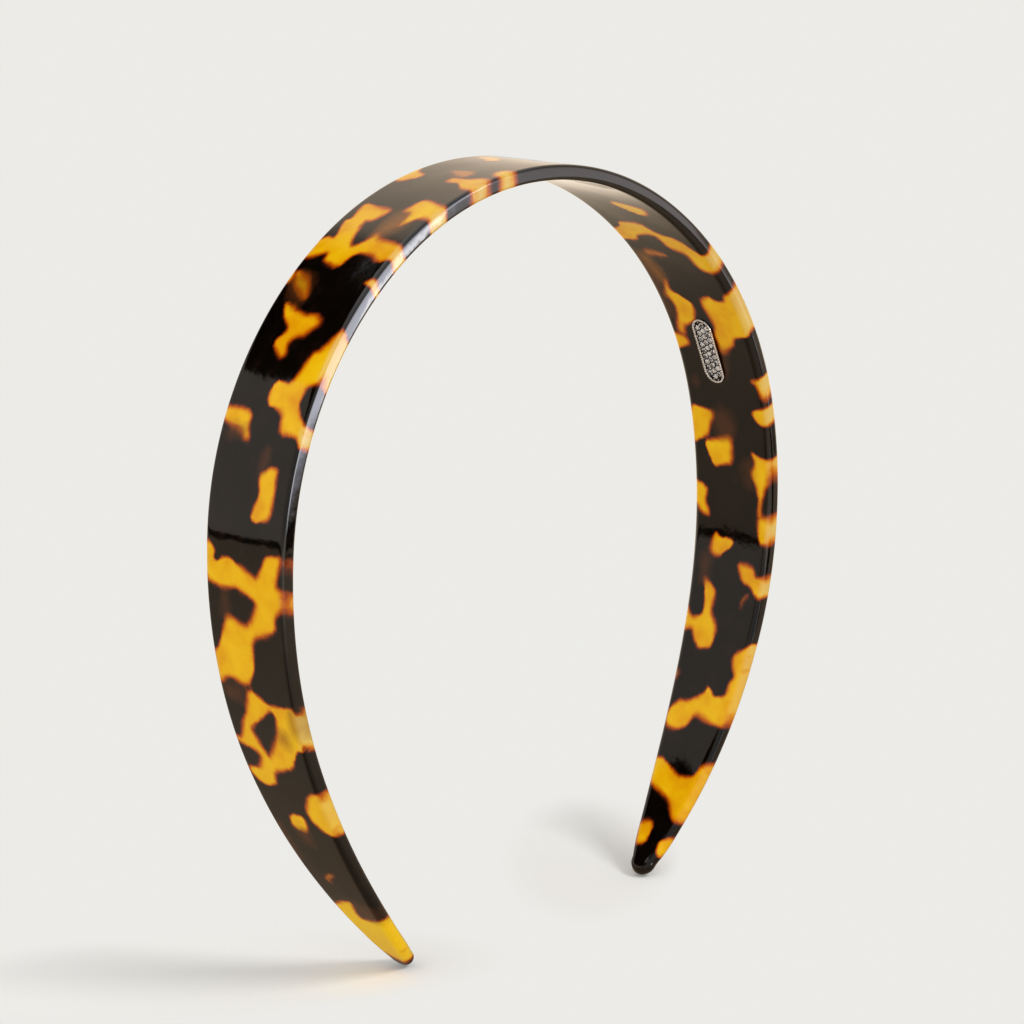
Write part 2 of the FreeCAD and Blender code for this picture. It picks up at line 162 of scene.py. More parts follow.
def half_width(along):
    """Half the band's width, with the round tips."""
    distance = np.abs(along)
    width = smooth_curve(HALF_WIDTHS, distance)
    into_tip = np.clip((distance - TIP_CENTRE) / TIP_RADIUS, 0, 1)
    return np.where(distance > TIP_CENTRE, TIP_RADIUS * np.sqrt(1 - into_tip ** 2), width)


def lean(along):
    """How far the band's centre line is off the middle, across the band."""
    t = np.clip((np.abs(along) - LEAN_START) / (HALF_LENGTH - LEAN_START), 0, 1)
    return np.where(along < 0, TIP_LEAN[0], TIP_LEAN[1]) * t ** 3


def stations():
    """Places along the band for the mesh's rings, closer together round the tips."""
    count = int(round(2 * TIP_CENTRE / RING_STEP))
    main = np.linspace(-TIP_CENTRE, TIP_CENTRE, count + 1)
    angles = np.radians(np.linspace(0, 90, TIP_RINGS + 1)[1:])
    tip = TIP_CENTRE + TIP_RADIUS * np.sin(angles)
    return np.concatenate([-tip[::-1], main, tip])


def distance_to_line(outline, points):
    """How far points are from a closed outline."""
    step = np.roll(outline, -1, 0) - outline
    length = np.maximum((step ** 2).sum(1), 1e-12)
    nearest = np.empty(len(points))
    batch = 4000
    for first in range(0, len(points), batch):
        part = slice(first, first + batch)
        gap = points[part, None] - outline
        t = np.clip((gap * step).sum(2) / length, 0, 1)
        rest = gap - t[..., None] * step
        nearest[part] = np.sqrt((rest ** 2).sum(2).min(1))
    return nearest


def band_outline():
    """The outline of the flat band."""
    edge = np.concatenate([stations(), stations()[::-1]])
    side = np.repeat([1.0, -1.0], len(stations()))
    return np.stack([edge, side * half_width(edge)], 1)


def tumbling(along):
    """How far the tumbling of the tips has taken hold, from 0 to 1."""
    t = np.clip((np.abs(along) - TUMBLED_START) / (TIP_CENTRE - TUMBLED_START), 0, 1)
    return t * t * (3 - 2 * t)


def band_face(rings, radius):
    """One face of the flat band: places along and across it, and how high it stands there.

    The face rounds off towards the edges, with its own radius at each ring.
    """
    width = half_width(rings)
    rim = np.minimum(width, radius)
    inset = 1 - np.cos(np.linspace(WALL_LEAN, math.pi / 2, ROUND_STEPS + 1))
    left = -width[:, None] + rim[:, None] * inset[None]
    flat = np.linspace(-1, 1, FLAT_STEPS + 1)[1:-1]
    middle = (width - rim)[:, None] * flat[None]
    across = np.concatenate([left, middle, -left[:, ::-1]], 1)
    along = np.repeat(rings[:, None], across.shape[1], 1)
    points = np.stack([along.ravel(), across.ravel()], 1)
    reach = distance_to_line(band_outline(), points).reshape(along.shape)
    into = np.clip(1 - reach / radius[:, None], 0, 1)
    fall = radius[:, None] * (1 - np.sqrt(1 - into ** 2))
    return along, across, (THICKNESS - TIP_LOSS * tumbling(along)) / 2 - fall


def band_grid():
    """The flat band as a grid: rings along it, each going once round the section.

    Returns the places along, across and through the sheet, as (rings, ring points) arrays.
    """
    rings = stations()
    radius = EDGE_RADIUS + (TIP_EDGE_RADIUS - EDGE_RADIUS) * tumbling(rings)
    start, end = SOFT_EDGE_PLACES
    softened = np.clip((rings - start) / (end - start), 0, 1)
    along, outer_across, outer = band_face(rings, radius)
    inner_radius = np.maximum(radius, EDGE_RADIUS + (SOFT_EDGE_RADIUS - EDGE_RADIUS) * softened)
    _, inner_across, inner = band_face(rings, inner_radius)
    steps = np.array([WALL_STEPS])
    high, low = outer[:, :1], inner[:, :1]
    wall = (high - low) / 2 + (high + low) / 2 * steps
    fullness = np.minimum(half_width(rings) / TIP_RADIUS, 1)[:, None]
    bulge = (high + low) / 2 * math.tan(WALL_LEAN) / 2 * (1 - steps ** 2) * fullness
    side = bulge - outer_across[:, :1]
    place = np.repeat(rings[:, None], wall.shape[1], 1)
    grid_along = np.concatenate([along, place, along, place], 1)
    grid_across = np.concatenate([outer_across, side, inner_across[:, ::-1], -side], 1)
    grid_through = np.concatenate([outer, wall, -inner[:, ::-1], wall[:, ::-1]], 1)
    outward = TIP_LOSS / 2 * tumbling(grid_along)
    return grid_along, grid_across, grid_through + outward


# ---------------------------------------------------------------- the pattern in the sheet

# Patches in the sheet: the arm, -1 or +1, and an outline in mm on the flat band, (along, across).
AMBER = (
    (-1, ((4, -11.5), (7.5, -11.5), (7.5, -9.5), (6, -7.6), (4, -7.8), (3.4, -8.7))),
    (-1, ((10, -10.8), (15, -11.5), (15, -7.7), (12.8, -5.2), (12.9, -1.6), (10.8, -1.6),
          (10.9, -5.3), (9.3, -8.3))),
    (-1, ((11, 6.4), (12.5, 6.3), (15, 9), (14.8, 11.5), (6.5, 11.5), (10, 9.3))),
    (-1, ((22.3, -11.5), (26.8, -11.5), (26.1, -8.5), (30, -5.1), (25.4, -4.8), (25.1, -2.4),
          (20.9, -3.5), (20.8, -5.3), (21.5, -8))),
    (-1, ((34.8, -11.5), (37.8, -11.5), (38.8, -8.7), (37.2, -5.2), (37.7, -1.3), (41.5, 0.6),
          (40.5, 5.3), (38.2, 5.8), (40, 9.3), (40.5, 11.5), (36.3, 11.5), (34.8, 9.7),
          (34.8, 7.3), (30, 9.3), (29, 8), (24, 9.3), (24.8, 4.7), (25.3, 1.3), (26, 0.8),
          (28.7, 2.3), (29.3, 4.3), (35.3, 2.5), (36.3, 1.3), (35.3, -0.5), (31.8, -2.2),
          (33.7, -4), (34, -9.3))),
    (-1, ((42.7, -11.5), (44.8, -11.5), (44, -9.3), (43.3, -9.8))),
    (-1, ((43.7, 11.5), (44.3, 10.2), (46, 9.9), (47, 11.5))),
    (-1, ((49.2, 3.4), (47.4, 4.2), (45.6, 5.4), (44.6, 7.6), (43.8, 9.8), (45.9, 8.9), (47, 7.6),
          (47.8, 6))),
    (-1, ((53.5, -4.2), (56.3, -1.7), (57.2, 0.7), (58.8, 1.7), (60.8, 0.8), (61.5, 1.7),
          (59, 5.2), (56, 2.7), (52.7, 6.7), (50.5, 7.7), (52.2, 3.3), (52.7, 0.7),
          (52.3, -2.3))),
    (-1, ((53.3, -11.5), (64.7, -11.5), (66, -8.4), (68.7, -8), (70.7, -8.7), (73.2, -11.5),
          (77.3, -11.5), (75, -10), (75.3, -5.3), (71.3, -4.5), (70.3, 0.7), (65.8, 0.3),
          (66, -4.3), (59.7, -6.5), (58.8, -8.3))),
    (-1, ((73, 3.6), (75, 3.7), (77.2, 2.5), (77.3, 4), (75.7, 5.3), (74.7, 11.5),
          (72.3, 11.5), (72, 5))),
    (-1, ((81.5, -7), (83.3, -7), (86, -7.3), (90.7, -6.8), (91.8, -3), (91, -1.3),
          (86.7, -3.2), (83.3, -2.3), (81.5, -5))),
    (-1, ((97, -10.6), (102.5, -9), (103.3, -10.6), (106.2, -10.8), (108.3, -8.5), (111, -8.5),
          (112.7, -4.3), (113.3, -2.3), (115, -1.2), (119.7, -1), (123.7, 2), (122.3, 7.2),
          (124.5, 10.4), (118.3, 10.6), (116.7, 8.7), (111, 5.7), (110.3, 5), (111.7, 0),
          (110, -2), (106.3, -3.8), (104.3, 2.3), (105, 6), (104.2, 11), (97, 11), (97, 9.7),
          (98.5, 8.5), (100.6, 8.6), (99, 4.5), (101, -0.3), (102.2, -4), (97.5, -6.2),
          (97, -8))),
    (-1, ((125.7, -10.4), (134.5, -10.2), (135.3, -8), (139.5, -5.2), (141.8, 1.3), (145, 2.3),
          (146, 6), (145, 7.7), (143.5, 9), (142.3, 9), (141.8, 5.3), (139, 3.7), (137.7, 4.7),
          (136.7, 9.9), (135.7, 9.9), (135.8, 8), (131.3, 5.7), (129.3, 4), (124, 2),
          (126.7, -3.2), (126.2, -7))),
    (-1, ((144, -9.9), (154.8, -9.5), (154.3, -7), (152.3, -4.3), (150, -3.8), (146.3, -6),
          (145, -7.7))),
    (-1, ((151.7, -2.2), (155.3, -1.2), (156, 0), (156, 2), (155, 3.3), (152.7, 2.7),
          (151.7, 0.8))),
    (-1, ((175.3, -1), (179.3, 0.2), (181.2, -0.2), (180.2, -4.8), (179.3, -7), (190, -5),
          (201, -2.5), (201, 2), (196.5, 3), (195, 6), (185, 6), (180, 7), (177.7, 5),
          (176.3, 2.3))),
    (1, ((3.5, 1.5), (6, 3.2), (7.2, 6.5), (6.2, 9), (4.5, 8.2), (3.9, 5), (2, 3.5))),
    (1, ((10.5, -4), (13, -6.5), (16, -6.2), (18.3, -4.1), (17.5, -1.7), (14.8, -1), (12, -2))),
    (1, ((17.5, 6.4), (20.1, 5.2), (23.8, 6.9), (24.6, 11.5), (16.8, 11.5), (18.2, 9))),
    (1, ((38.3, -6.3), (40, -6), (41.3, -4.5), (41, -2.5), (38, 0.5), (36.7, 1.2), (35.4, 0.2),
         (36, -2), (37, -4.5))),
    (1, ((45.3, 0.5), (49, -2), (50, -6.2), (55, -9.7), (56, -11.5), (60.7, -11.5),
         (60.7, -8.3), (59.7, -6.5), (55.3, -5.7), (53.7, -1.7), (50, -1.2), (49.5, 1),
         (50.5, 4.7), (52.4, 6), (52.7, 11.5), (49.5, 11.5), (47.7, 7.3), (45.7, 6.7))),
    (1, ((64.7, 5.8), (68, 6.2), (69.7, 3), (71, 1.5), (72.7, 1.7), (75.7, 3), (77.7, 6.7),
         (79.6, 7.3), (79, 8.7), (73.3, 6.7), (71.3, 6.8), (69, 8.2))),
    (1, ((80.3, 7.5), (82, 6.7), (83, 9), (84, 11.5), (79.6, 11.5), (80, 9.3))),
    (1, ((66.7, -11.5), (78, -11.5), (78.7, -7), (80.7, -6), (83.3, -2), (79.3, -1.7),
         (76, -2.7), (70, -1.3), (68.2, -4.3), (69.3, -6), (69.3, -8.3), (67.3, -9.3))),
    (1, ((88.5, -11.5), (95, -11.5), (92, -10.2), (89.7, -9.8), (88.9, -8.5))),
    (1, ((95.3, -11.4), (99.2, -11.4), (99, -9.3), (97, -7.2), (95.8, -8))),
    (1, ((97.8, 4.2), (99, 4.2), (100.5, 5), (103, 6), (104.7, 8.7), (105.7, 11.2),
         (100, 11.2), (96.7, 9.7), (97.3, 6))),
    (1, ((102.8, -0.6), (108.7, -0.3), (109.5, 3), (110, 4.7), (106.7, 6.5), (104.7, 7),
         (104, 4.5))),
    (1, ((107, -11.2), (111, -10.3), (116.3, -8.3), (119.2, -8.5), (118.7, -7.7), (114, -7.7),
         (110.3, -5.7), (108, -7), (105.4, -6), (106.2, -8))),
    (1, ((113.8, 11), (114.3, 8), (115.3, 6.9), (118, 7.4), (121, 5.9), (120.5, 8.4), (119, 9.6),
         (118.6, 11))),
    (1, ((119.3, -10.8), (125.2, -10.6), (124.7, -8.3), (122, -7.8), (119.5, -7.8))),
    (1, ((132.3, -10.4), (137.3, -10.2), (134.3, -7), (134, -5), (130, -3), (130.5, -7.5),
         (132.3, -8))),
    (1, ((125.2, -1.2), (126.7, -0.9), (129.3, 2.5), (129.2, 4.2), (127.7, 5), (124.3, 4),
         (125.2, 2.8))),
    (1, ((137.2, 2.2), (141.5, 2.8), (144.7, 0.3), (149, 0.5), (149.7, 4), (148, 5.7),
         (145.7, 7), (146.7, 9.8), (141.3, 9.8), (143.7, 7.8), (142.7, 4.7), (140, 4.7),
         (135, 5.7), (135.3, 4.3))),
    (1, ((146.5, -9.8), (150, -9.7), (165, -8.6), (164.7, -4.3), (163.5, 0.3), (166.7, 1.5),
         (167.8, 3.7), (167.7, 6.3), (166.7, 7.7), (164.3, 7.7), (161.8, 5.7), (161.3, 2.7),
         (159, -0.7), (157, -1.3), (159.3, -3.7), (158.3, -6.7), (156, -6.7), (153.7, -7.7),
         (150, -5.8), (148, -8.3))),
    (1, ((173, -7.9), (187.3, -5.6), (186.7, -3.7), (183, -1.3), (181.5, 2.3), (180, 6.8),
         (174.7, 7.5), (174.7, 4.3), (177.7, -0.7), (177, -5), (174.7, -5.7))),
    (1, ((188.5, 1.2), (190, 0.5), (193.3, 0.7), (194, 3.2), (191.5, 4.4), (189.5, 4.6))),
    (1, ((190.4, -5.6), (190.9, -4.4), (192.2, -2.9), (193.8, -2.9), (196.2, -3.4), (196.5, -5.5))),
)
ORANGE = (
    (-1, ((6.2, -2.5), (7.8, -4.3), (10, -4), (10.2, -1.5), (7.5, 3), (6.6, 0))),
    (-1, ((101.5, -1.5), (104.5, -1.8), (105, 1), (102.5, 2.2), (101, 1))),
    (-1, ((166.9, -1.7), (169.3, 1), (170.3, 1.7), (169.5, 3), (167.6, 0.8))),
    (1, ((56.3, 0.3), (57.4, 1), (57.5, 6.5), (56, 6.7), (55.2, 5.3))),
    (1, ((136.3, -7), (139, -5.5), (138.5, -5), (136.5, -6))),
    (1, ((154.7, 8.3), (156, 7.7), (157.7, 8), (157.5, 9.3))),
    (1, ((162.5, -8.3), (165, -8.3), (164.8, -4.7), (163, -4.9))),
)
BROWN = (
    (-1, ((25.3, -4.8), (29.8, -5.2), (31.5, -4), (31.7, -1.7), (29.3, -1.2), (25.3, -0.9))),
    (-1, ((44.5, 4.5), (50.5, 3), (51.5, 5), (49.6, 8), (46.5, 10.5), (43.5, 8.5))),
    (-1, ((75, 3.7), (77.7, 4), (77.4, 8.5), (75, 9))),
    (-1, ((77.3, -3.7), (81.5, -4.2), (83.3, -2.4), (80, -1.9))),
    (-1, ((105.5, 5), (110.5, 5), (110.5, 6.4), (105.5, 6.5))),
    (-1, ((126, -10.2), (132, -10), (131.5, -8.2), (126.5, -8.4))),
    (-1, ((131.5, -7), (134.7, -6.5), (134, -3.7), (131.5, -4.2))),
    (-1, ((124, 4), (127.7, 5), (127.2, 9), (124.5, 9.3))),
    (-1, ((155, -1.5), (159.5, -0.5), (159, 2.6), (155.5, 3))),
    (-1, ((155, 6.7), (165, 6.8), (164, 8.6), (156, 8.4))),
    (-1, ((175, -6.5), (180.5, -6), (180.5, -1), (175.5, -0.7))),
    (-1, ((195.5, 2.8), (200.5, 2.2), (200.5, 5), (195.5, 5.5))),
    (1, ((61, 8), (65, 7), (69, 8), (74, 7.5), (76, 9), (72, 11.5), (66, 11.5))),
    (1, ((82, -3), (88, -2), (90, 0.5), (86, 1), (82.5, 0))),
    (1, ((90.5, 7.5), (91.3, 6.7), (92.1, 7.5), (91.3, 8.3))),
    (1, ((97, 0.8), (98.8, -1.4), (101, -1.9), (103.4, -0.6), (103.6, 2.6), (101, 3.9), (97.8, 3.9))),
    (1, ((107, -6.2), (110.5, -5.4), (113, -7.2), (113, -4.6), (108, -3.6))),
    (1, ((128.5, 5), (135, 5.2), (135.5, 7), (130, 7.3))),
    (1, ((20, -2), (25, -4.5), (25.5, -0.5), (22, 1))),
)
# Thin veils of amber over the dark stock, outside the amber patches.
VEIL = (
    (-1, ((25, -5.6), (29.6, -6.1), (33.2, -3.6), (33, -1.4), (29.5, -1), (26, -2.4))),
    (1, ((56.5, 7), (60, 6), (64.5, 5.4), (66, 7.2), (61.5, 9.4), (57.5, 9.2))),
)
# Dark islands inside the amber.
DARK = (
    (-1, ((127.3, -3.3), (128.3, -4.5), (132, -4), (136.7, -0.7), (138.7, 1.3), (136, 2.7),
          (133.3, 4.3), (132.3, 3.7), (129.7, -0.3))),
    (-1, ((193.4, 3.6), (195.2, 1.9), (196.2, 0), (196.6, -1.8), (196.4, -3), (197, -6),
          (202, -6), (202, 6), (193.4, 6))),
)
FAR_FROM_PATCH = -4.0
# How far a patch moves for each mm through the sheet, and the length over the crown in which
# the pattern goes from being drawn on one face to the other.
SLANT_ALONG, SLANT_ACROSS = 0.35, 0.22
FACE_CHANGE = 12.0
# How far in from the outline the side walls' painted sheen reaches: paler amber that stands in for the
# highlight which washes it out there.
SIDE_SHEEN_REACH = 1.2


def cut_corners(points, cut=0.17):
    """Take the sharp corners off a closed outline."""
    ahead = np.roll(points, -1, 0)
    first = points + cut * (ahead - points)
    second = ahead - cut * (ahead - points)
    return np.stack([first, second], 1).reshape(-1, 2)


def run_past_edge(points):
    """Carry a patch that reaches the band's edge on past it, so that it doesn't fade there."""
    past, close = 4.0, 0.25
    at_edge = np.abs(points[:, 1]) > half_width(points[:, 0]) - close
    carried = []
    for index, point in enumerate(points):
        ahead = (index + 1) % len(points)
        carried.append(point)
        if at_edge[index] and at_edge[ahead] and point[1] * points[ahead, 1] > 0:
            shift = np.array([0.0, math.copysign(past, point[1])])
            carried.extend([point + shift, points[ahead] + shift])
    return np.array(carried)


def inside_distance(outline, points):
    """How far points are inside a closed outline, and less than 0 outside it."""
    step = np.roll(outline, -1, 0) - outline
    x, y = points[:, :1], points[:, 1:]
    crosses = (outline[:, 1] > y) != (np.roll(outline, -1, 0)[:, 1] > y)
    tiny = 1e-9
    rise = np.where(np.abs(step[:, 1]) < tiny, tiny, step[:, 1])
    reach = outline[:, 0] + (y - outline[:, 1]) * step[:, 0] / rise
    inside = (crosses & (x < reach)).sum(1) % 2 == 1
    distance = distance_to_line(outline, points)
    return np.where(inside, distance, -distance)


def patch_field(patches, along, across):
    """How far each point of the band is inside the nearest patch of a kind."""
    field = np.full(len(along), FAR_FROM_PATCH)
    points = np.stack([along, across], 1)
    for arm, corners in patches:
        outline = np.array(corners, float) * (arm, 1)
        outline = run_past_edge(cut_corners(outline))
        low = outline.min(0) + FAR_FROM_PATCH
        high = outline.max(0) - FAR_FROM_PATCH
        near = np.all((points > low) & (points < high), 1)
        field[near] = np.maximum(field[near], inside_distance(outline, points[near]))
    return field


def add_field(mesh, name, values):
    """Store a number for each vertex, for the material to read."""
    layer = mesh.attributes.new(name, "FLOAT", "POINT")
    layer.data.foreach_set("value", values.astype(np.float32))


def make_band():
    """The band's mesh, with the fields that draw its pattern."""
    along, across, through = band_grid()
    rings, ring_size = along.shape
    along, across, through = along.ravel(), across.ravel(), through.ravel()
    point, out = middle_line(along)
    place = point + out * through[:, None]
    side = across + lean(along)
    vertices = np.stack([place[:, 0], side, place[:, 1]], 1) * MM

    index = np.arange(rings * ring_size).reshape(rings, ring_size)
    here, ahead = index[:-1], index[1:]
    quads = np.stack([here, np.roll(here, -1, 1), np.roll(ahead, -1, 1), ahead], 2).reshape(-1, 4)
    mesh = bpy.data.meshes.new("acetate_band")
    mesh.from_pydata(vertices.tolist(), [], quads.tolist())

    # The patches run a little aslant through the sheet, away from the face that each is drawn on.
    drawn_face = np.tanh(along / FACE_CHANGE)
    depth = THICKNESS / 2 * np.abs(drawn_face) + drawn_face * through
    pattern = (along + SLANT_ALONG * depth, across + SLANT_ACROSS * depth)
    amber = np.minimum(patch_field(AMBER, *pattern), -patch_field(DARK, *pattern))
    add_field(mesh, "amber", amber)
    for name, patches in (("orange", ORANGE), ("brown", BROWN), ("veil", VEIL)):
        add_field(mesh, name, patch_field(patches, *pattern))
    # Where the painted sheen goes: amber on the side walls is made paler, standing in for the highlight
    # there.
    inset = half_width(along) - np.abs(across)
    tumbled = tumbling(along)
    add_field(mesh, "side", np.clip(1 - inset / SIDE_SHEEN_REACH, 0, 1) * (1 - tumbled))
    # Where the painted glow goes: amber at the thin -X tip is made brighter, standing in for light
    # shining through it.
    add_field(mesh, "painted_tip_glow", tumbled * (along < 0))

    shape = bmesh.new()
    shape.from_mesh(mesh)
    bmesh.ops.remove_doubles(shape, verts=shape.verts, dist=1e-7)
    bmesh.ops.recalc_face_normals(shape, faces=shape.faces)
    shape.to_mesh(mesh)
    shape.free()
    mesh.shade_smooth()
    return add_object("acetate_band", mesh)


# ---------------------------------------------------------------- materials

BLACK = (0.0, 0.0, 0.0)


def grey(level):
    """A neutral colour."""
    return (level,) * 3


def new_material(name):
    """A material, its node tree and its shader."""
    material = bpy.data.materials.new(name)
    material.use_nodes = True
    tree = material.node_tree
    return material, tree, tree.nodes["Principled BSDF"]


def add_node(tree, kind, **settings):
    """A node of a kind, with its settings."""
    node = tree.nodes.new(kind)
    for name, value in settings.items():
        setattr(node, name, value)
    return node


def math_node(tree, operation, first, second=0.0, third=0.0):
    """One step of arithmetic on sockets or numbers; returns its output socket."""
    node = add_node(tree, "ShaderNodeMath", operation=operation)
    for socket, value in zip(node.inputs, (first, second, third)):
        if isinstance(value, (int, float)):
            socket.default_value = value
        else:
            tree.links.new(value, socket)
    return node.outputs[0]


def stored(tree, name):
    """A number that the mesh stores for each vertex or facet."""
    return add_node(tree, "ShaderNodeAttribute", attribute_name=name).outputs["Fac"]


def own_place(tree):
    """The place of each point in its object's own space."""
    return add_node(tree, "ShaderNodeTexCoord").outputs["Object"]


def ramp(tree, value, low, high, stops):
    """A colour ramp whose stops are given at values between low and high."""
    scaled = add_node(tree, "ShaderNodeMapRange")
    scaled.inputs["From Min"].default_value = low
    scaled.inputs["From Max"].default_value = high
    tree.links.new(value, scaled.inputs["Value"])
    node = add_node(tree, "ShaderNodeValToRGB")
    elements = node.color_ramp.elements
    while len(elements) < len(stops):
        elements.new(0.5)
    for element, (place, colour) in zip(elements, stops):
        element.position = (place - low) / (high - low)
        element.color = (*colour, 1.0)
    tree.links.new(scaled.outputs["Result"], node.inputs["Fac"])
    return node.outputs["Color"]


def share(tree, value, low, high, most=1.0):
    """A share that rises from 0 at low to the most at high."""
    return ramp(tree, value, low, high, ((low, BLACK), (high, grey(most))))


def noise(tree, scale, detail=3.0, roughness=0.5, offset=0.0):
    """A noise in the object's own space; scale is in waves per metre."""
    moved = add_node(tree, "ShaderNodeVectorMath", operation="ADD")
    moved.inputs[1].default_value = (offset,) * 3
    tree.links.new(own_place(tree), moved.inputs[0])
    node = add_node(tree, "ShaderNodeTexNoise")
    node.inputs["Scale"].default_value = scale
    node.inputs["Detail"].default_value = detail
    node.inputs["Roughness"].default_value = roughness
    tree.links.new(moved.outputs[0], node.inputs["Vector"])
    return node.outputs["Fac"]


def mix_colour(tree, factor, first, second):
    """A mix of two colours, each a socket or a tuple, by a socket or a number."""
    node = add_node(tree, "ShaderNodeMix", data_type="RGBA")
    sockets = {"Factor": factor, "A": first, "B": second}
    for name, value in sockets.items():
        socket = [s for s in node.inputs if s.name == name and s.enabled][0]
        if isinstance(value, tuple):
            socket.default_value = (*value, 1.0)
        elif isinstance(value, float):
            socket.default_value = value
        else:
            tree.links.new(value, socket)
    return [s for s in node.outputs if s.enabled][0]


def step_up(tree, value, low, high):
    """0 below low, 1 above high, and a smooth rise between them."""
    node = add_node(tree, "ShaderNodeMapRange", interpolation_type="SMOOTHSTEP")
    node.inputs["From Min"].default_value = low
    node.inputs["From Max"].default_value = high
    tree.links.new(value, node.inputs["Value"])
    return node.outputs["Result"]


def direction_along(tree, vector, x, y, z=0.0):
    """How far a direction or a place is along an axis."""
    node = add_node(tree, "ShaderNodeVectorMath", operation="DOT_PRODUCT")
    node.inputs[1].default_value = (x, y, z)
    tree.links.new(vector, node.inputs[0])
    return node.outputs["Value"]


def field_with_wobble(tree, name, amount, scale, offset):
    """A patch field whose edge wanders a little, and is crisp in some places and soft in others."""
    wobble = math_node(tree, "SUBTRACT", noise(tree, scale, 4.0, 0.55, offset), 0.5)
    wandering = math_node(tree, "MULTIPLY_ADD", wobble, amount, stored(tree, name))
    softness = math_node(tree, "MULTIPLY_ADD", noise(tree, 130, 2.0, 0.5, offset + 20), 3.4, -0.75)
    softness = math_node(tree, "MAXIMUM", softness, 0.45)
    return math_node(tree, "DIVIDE", wandering, softness)


def bump(tree, shader, layers):
    """Bumps on top of each other: (height socket, depth in metres) each."""
    normal = None
    for height, depth in layers:
        node = add_node(tree, "ShaderNodeBump")
        node.inputs["Distance"].default_value = depth
        tree.links.new(height, node.inputs["Height"])
        if normal is not None:
            tree.links.new(normal, node.inputs["Normal"])
        normal = node.outputs["Normal"]
    tree.links.new(normal, shader.inputs["Normal"])


def acetate_material():
    """Polished tortoiseshell acetate: dark stock with amber, orange and brown patches."""
    material, tree, shader = new_material("tortoiseshell_acetate")
    amber = field_with_wobble(tree, "amber", 0.8, 600, 0.0)
    orange = field_with_wobble(tree, "orange", 1.2, 650, 3.0)
    brown = field_with_wobble(tree, "brown", 1.8, 420, 7.0)

    mottle = noise(tree, 260, 4.0, 0.6, 11.0)
    stock = ramp(tree, mottle, 0.3, 0.75, (
        (0.3, (0.0014, 0.0008, 0.0005)), (0.55, (0.003, 0.0017, 0.001)),
        (0.75, (0.009, 0.004, 0.002))))
    brown_share = share(tree, brown, -1.4, 1.2, 0.85)
    colour = mix_colour(tree, brown_share, stock, (0.06, 0.017, 0.005))

    orange_colour = ramp(tree, orange, -0.9, 1.6, (
        (-0.9, (0.03, 0.006, 0.002)), (-0.1, (0.16, 0.025, 0.002)), (1.0, (0.46, 0.13, 0.004))))
    orange_share = share(tree, orange, -1.1, 0.3, 0.92)
    colour = mix_colour(tree, orange_share, colour, orange_colour)

    tint = noise(tree, 150, 3.0, 0.5, 5.0)
    core = ramp(tree, tint, 0.3, 0.7, ((0.3, (0.72, 0.29, 0.001)), (0.5, (0.80, 0.41, 0.002)),
                                      (0.7, (0.84, 0.49, 0.005))))
    fringe = ramp(tree, amber, -0.9, 0.8, (
        (-0.9, (0.018, 0.004, 0.002)), (-0.5, (0.09, 0.011, 0.002)), (-0.15, (0.38, 0.06, 0.001)),
        (0.2, (0.62, 0.18, 0.001)), (0.8, (0.76, 0.34, 0.002))))
    core_share = share(tree, amber, 0.1, 1.0)
    amber_colour = mix_colour(tree, core_share, fringe, core)

    # Painted light: amber is made paler on the side walls, a painted sheen for the highlight there, and
    # brighter at the thin -X tip, a painted glow for light shining through it.
    side_sheen_share = math_node(tree, "MULTIPLY", stored(tree, "side"), core_share)
    painted_side_sheen = math_node(tree, "MULTIPLY", side_sheen_share, 0.75)
    amber_colour = mix_colour(tree, painted_side_sheen, amber_colour, (0.70, 0.50, 0.16))
    # Painted glow: the tumbled -X tip's amber is made brighter, standing in for light shining through
    # it.
    tip_glow_share = math_node(tree, "MULTIPLY", stored(tree, "painted_tip_glow"), core_share)
    tip_glow_strength = math_node(tree, "MULTIPLY", tip_glow_share, 0.8)
    amber_colour = mix_colour(tree, tip_glow_strength, amber_colour, (0.97, 0.60, 0.006))
    amber_share = share(tree, amber, -0.95, -0.4)
    colour = mix_colour(tree, amber_share, colour, amber_colour)

    veil = field_with_wobble(tree, "veil", 1.6, 380, 9.0)
    veil_share = share(tree, veil, -1.5, 1.6, 0.8)
    outside_core = math_node(tree, "SUBTRACT", 1.0, core_share)
    colour = mix_colour(tree, math_node(tree, "MULTIPLY", veil_share, outside_core), colour,
                        (0.24, 0.08, 0.006))
    # Brown that crosses amber leaves a streak in it.
    streak = math_node(tree, "MULTIPLY", math_node(tree, "MULTIPLY", brown_share, amber_share), 0.8)
    colour = mix_colour(tree, streak, colour, (0.22, 0.055, 0.004))
    tree.links.new(colour, shader.inputs["Base Color"])

    shine = ramp(tree, amber, -0.4, 0.6, ((-0.4, grey(0.5)), (0.6, grey(0.34))))
    tree.links.new(shine, shader.inputs["Specular IOR Level"])
    haze = noise(tree, 900, 5.0, 0.6, 2.0)
    roughness = ramp(tree, haze, 0.3, 0.7, ((0.3, grey(0.045)), (0.7, grey(0.075))))
    tree.links.new(roughness, shader.inputs["Roughness"])
    shader.inputs["IOR"].default_value = 1.43
    shader.inputs["Subsurface Weight"].default_value = 0.08
    shader.inputs["Subsurface Radius"].default_value = (1.0, 0.45, 0.1)
    shader.inputs["Subsurface Scale"].default_value = 0.0012
    bump(tree, shader, (
        (noise(tree, 75, 1.0, 0.4, 1.0), 0.00022),
        (noise(tree, 320, 2.0, 0.5, 9.0), 0.000018),
    ))
    return material


